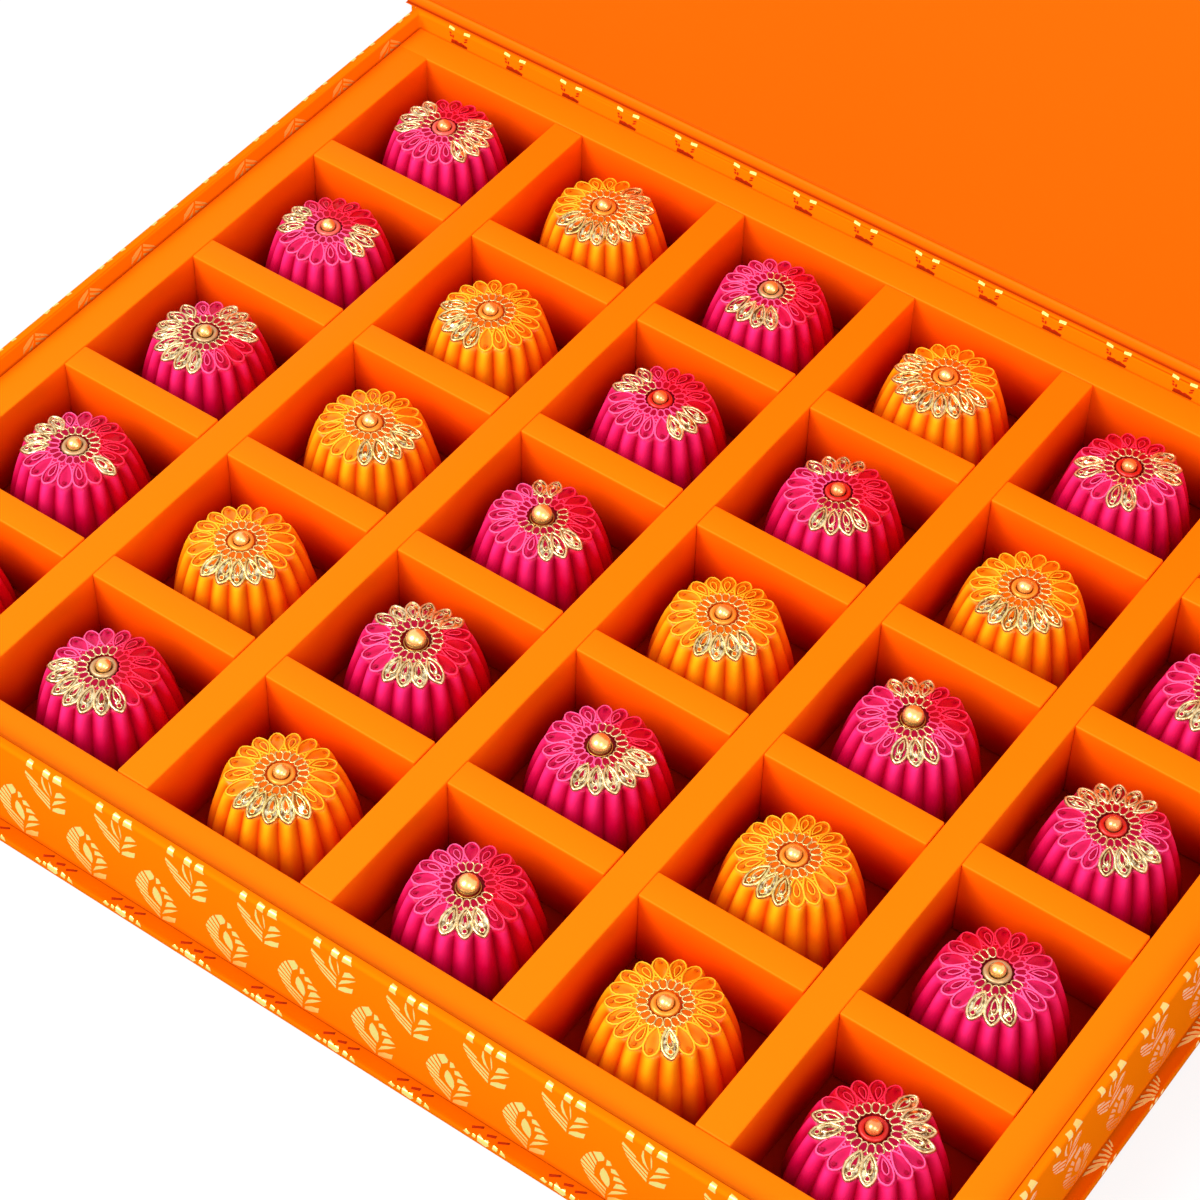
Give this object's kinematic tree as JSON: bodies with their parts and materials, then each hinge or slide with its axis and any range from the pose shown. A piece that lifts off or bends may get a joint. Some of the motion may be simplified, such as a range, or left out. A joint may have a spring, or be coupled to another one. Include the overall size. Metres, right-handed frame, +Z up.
{
  "type": "chocolate gift box",
  "caption": "Rigid book-style gift box with a hinged lid, a divided tray and a fluted chocolate in each compartment.",
  "frame": {"origin": "middle of the base board's underside, on the surface the box stands on", "axes": "+Z up; +X to the right along the front wall; +Y from the front wall to the hinge at the back"},
  "size_m": [0.2824, 0.2526, 0.2523],
  "materials": {
    "printed_paper": "matte",
    "tray_paper": "matte",
    "liner_paper": "matte",
    "gold_foil": "gloss",
    "pink_chocolate": "satin",
    "yellow_chocolate": "satin"
  },
  "bodies": {
    "case": {"base_board": "printed_paper", "front_wall": "printed_paper", "back_wall": "printed_paper", "left_wall": "printed_paper", "right_wall": "printed_paper", "spine_board": "printed_paper", "tray_floor": "tray_paper", "tray_rail_front": "tray_paper", "tray_rail_back": "tray_paper", "tray_rail_left": "tray_paper", "tray_rail_right": "tray_paper", "long_divider_1": "tray_paper", "long_divider_2": "tray_paper", "long_divider_3": "tray_paper", "long_divider_4": "tray_paper", "long_divider_5": "tray_paper", "cross_divider_1": "tray_paper", "cross_divider_2": "tray_paper", "cross_divider_3": "tray_paper", "cross_divider_4": "tray_paper", "hinge_joint": "liner_paper"},
    "lid": {"lid_board": "printed_paper", "lid_liner": "liner_paper"},
    "chocolate_c1_r1": {"chocolate_c1_r1": "pink_chocolate"},
    "chocolate_c1_r2": {"chocolate_c1_r2": "pink_chocolate"},
    "chocolate_c1_r3": {"chocolate_c1_r3": "pink_chocolate"},
    "chocolate_c1_r4": {"chocolate_c1_r4": "pink_chocolate"},
    "chocolate_c1_r5": {"chocolate_c1_r5": "pink_chocolate"},
    "chocolate_c2_r1": {"chocolate_c2_r1": "pink_chocolate"},
    "chocolate_c2_r2": {"chocolate_c2_r2": "yellow_chocolate"},
    "chocolate_c2_r3": {"chocolate_c2_r3": "yellow_chocolate"},
    "chocolate_c2_r4": {"chocolate_c2_r4": "yellow_chocolate"},
    "chocolate_c2_r5": {"chocolate_c2_r5": "yellow_chocolate"},
    "chocolate_c3_r1": {"chocolate_c3_r1": "yellow_chocolate"},
    "chocolate_c3_r2": {"chocolate_c3_r2": "pink_chocolate"},
    "chocolate_c3_r3": {"chocolate_c3_r3": "pink_chocolate"},
    "chocolate_c3_r4": {"chocolate_c3_r4": "pink_chocolate"},
    "chocolate_c3_r5": {"chocolate_c3_r5": "pink_chocolate"},
    "chocolate_c4_r1": {"chocolate_c4_r1": "pink_chocolate"},
    "chocolate_c4_r2": {"chocolate_c4_r2": "pink_chocolate"},
    "chocolate_c4_r3": {"chocolate_c4_r3": "yellow_chocolate"},
    "chocolate_c4_r4": {"chocolate_c4_r4": "pink_chocolate"},
    "chocolate_c4_r5": {"chocolate_c4_r5": "yellow_chocolate"},
    "chocolate_c5_r1": {"chocolate_c5_r1": "yellow_chocolate"},
    "chocolate_c5_r2": {"chocolate_c5_r2": "yellow_chocolate"},
    "chocolate_c5_r3": {"chocolate_c5_r3": "pink_chocolate"},
    "chocolate_c5_r4": {"chocolate_c5_r4": "yellow_chocolate"},
    "chocolate_c5_r5": {"chocolate_c5_r5": "pink_chocolate"},
    "chocolate_c6_r1": {"chocolate_c6_r1": "pink_chocolate"},
    "chocolate_c6_r2": {"chocolate_c6_r2": "pink_chocolate"},
    "chocolate_c6_r3": {"chocolate_c6_r3": "pink_chocolate"},
    "chocolate_c6_r4": {"chocolate_c6_r4": "pink_chocolate"},
    "chocolate_c6_r5": {"chocolate_c6_r5": "pink_chocolate"}
  },
  "joints": [
    {"name": "lid_hinge", "type": "hinge", "parent": "case", "child": "lid", "pos_m": [0, 0.1127, 0.0299], "axis": [-1, 0, 0], "range_deg": [-97, 83]},
    {"name": "lift_c1_r1", "type": "slide", "parent": "case", "child": "chocolate_c1_r1", "axis": [0, 0, 1], "range_m": [0, 0.03]},
    {"name": "lift_c1_r2", "type": "slide", "parent": "case", "child": "chocolate_c1_r2", "axis": [0, 0, 1], "range_m": [0, 0.03]},
    {"name": "lift_c1_r3", "type": "slide", "parent": "case", "child": "chocolate_c1_r3", "axis": [0, 0, 1], "range_m": [0, 0.03]},
    {"name": "lift_c1_r4", "type": "slide", "parent": "case", "child": "chocolate_c1_r4", "axis": [0, 0, 1], "range_m": [0, 0.03]},
    {"name": "lift_c1_r5", "type": "slide", "parent": "case", "child": "chocolate_c1_r5", "axis": [0, 0, 1], "range_m": [0, 0.03]},
    {"name": "lift_c2_r1", "type": "slide", "parent": "case", "child": "chocolate_c2_r1", "axis": [0, 0, 1], "range_m": [0, 0.03]},
    {"name": "lift_c2_r2", "type": "slide", "parent": "case", "child": "chocolate_c2_r2", "axis": [0, 0, 1], "range_m": [0, 0.03]},
    {"name": "lift_c2_r3", "type": "slide", "parent": "case", "child": "chocolate_c2_r3", "axis": [0, 0, 1], "range_m": [0, 0.03]},
    {"name": "lift_c2_r4", "type": "slide", "parent": "case", "child": "chocolate_c2_r4", "axis": [0, 0, 1], "range_m": [0, 0.03]},
    {"name": "lift_c2_r5", "type": "slide", "parent": "case", "child": "chocolate_c2_r5", "axis": [0, 0, 1], "range_m": [0, 0.03]},
    {"name": "lift_c3_r1", "type": "slide", "parent": "case", "child": "chocolate_c3_r1", "axis": [0, 0, 1], "range_m": [0, 0.03]},
    {"name": "lift_c3_r2", "type": "slide", "parent": "case", "child": "chocolate_c3_r2", "axis": [0, 0, 1], "range_m": [0, 0.03]},
    {"name": "lift_c3_r3", "type": "slide", "parent": "case", "child": "chocolate_c3_r3", "axis": [0, 0, 1], "range_m": [0, 0.03]},
    {"name": "lift_c3_r4", "type": "slide", "parent": "case", "child": "chocolate_c3_r4", "axis": [0, 0, 1], "range_m": [0, 0.03]},
    {"name": "lift_c3_r5", "type": "slide", "parent": "case", "child": "chocolate_c3_r5", "axis": [0, 0, 1], "range_m": [0, 0.03]},
    {"name": "lift_c4_r1", "type": "slide", "parent": "case", "child": "chocolate_c4_r1", "axis": [0, 0, 1], "range_m": [0, 0.03]},
    {"name": "lift_c4_r2", "type": "slide", "parent": "case", "child": "chocolate_c4_r2", "axis": [0, 0, 1], "range_m": [0, 0.03]},
    {"name": "lift_c4_r3", "type": "slide", "parent": "case", "child": "chocolate_c4_r3", "axis": [0, 0, 1], "range_m": [0, 0.03]},
    {"name": "lift_c4_r4", "type": "slide", "parent": "case", "child": "chocolate_c4_r4", "axis": [0, 0, 1], "range_m": [0, 0.03]},
    {"name": "lift_c4_r5", "type": "slide", "parent": "case", "child": "chocolate_c4_r5", "axis": [0, 0, 1], "range_m": [0, 0.03]},
    {"name": "lift_c5_r1", "type": "slide", "parent": "case", "child": "chocolate_c5_r1", "axis": [0, 0, 1], "range_m": [0, 0.03]},
    {"name": "lift_c5_r2", "type": "slide", "parent": "case", "child": "chocolate_c5_r2", "axis": [0, 0, 1], "range_m": [0, 0.03]},
    {"name": "lift_c5_r3", "type": "slide", "parent": "case", "child": "chocolate_c5_r3", "axis": [0, 0, 1], "range_m": [0, 0.03]},
    {"name": "lift_c5_r4", "type": "slide", "parent": "case", "child": "chocolate_c5_r4", "axis": [0, 0, 1], "range_m": [0, 0.03]},
    {"name": "lift_c5_r5", "type": "slide", "parent": "case", "child": "chocolate_c5_r5", "axis": [0, 0, 1], "range_m": [0, 0.03]},
    {"name": "lift_c6_r1", "type": "slide", "parent": "case", "child": "chocolate_c6_r1", "axis": [0, 0, 1], "range_m": [0, 0.03]},
    {"name": "lift_c6_r2", "type": "slide", "parent": "case", "child": "chocolate_c6_r2", "axis": [0, 0, 1], "range_m": [0, 0.03]},
    {"name": "lift_c6_r3", "type": "slide", "parent": "case", "child": "chocolate_c6_r3", "axis": [0, 0, 1], "range_m": [0, 0.03]},
    {"name": "lift_c6_r4", "type": "slide", "parent": "case", "child": "chocolate_c6_r4", "axis": [0, 0, 1], "range_m": [0, 0.03]},
    {"name": "lift_c6_r5", "type": "slide", "parent": "case", "child": "chocolate_c6_r5", "axis": [0, 0, 1], "range_m": [0, 0.03]}
  ]
}
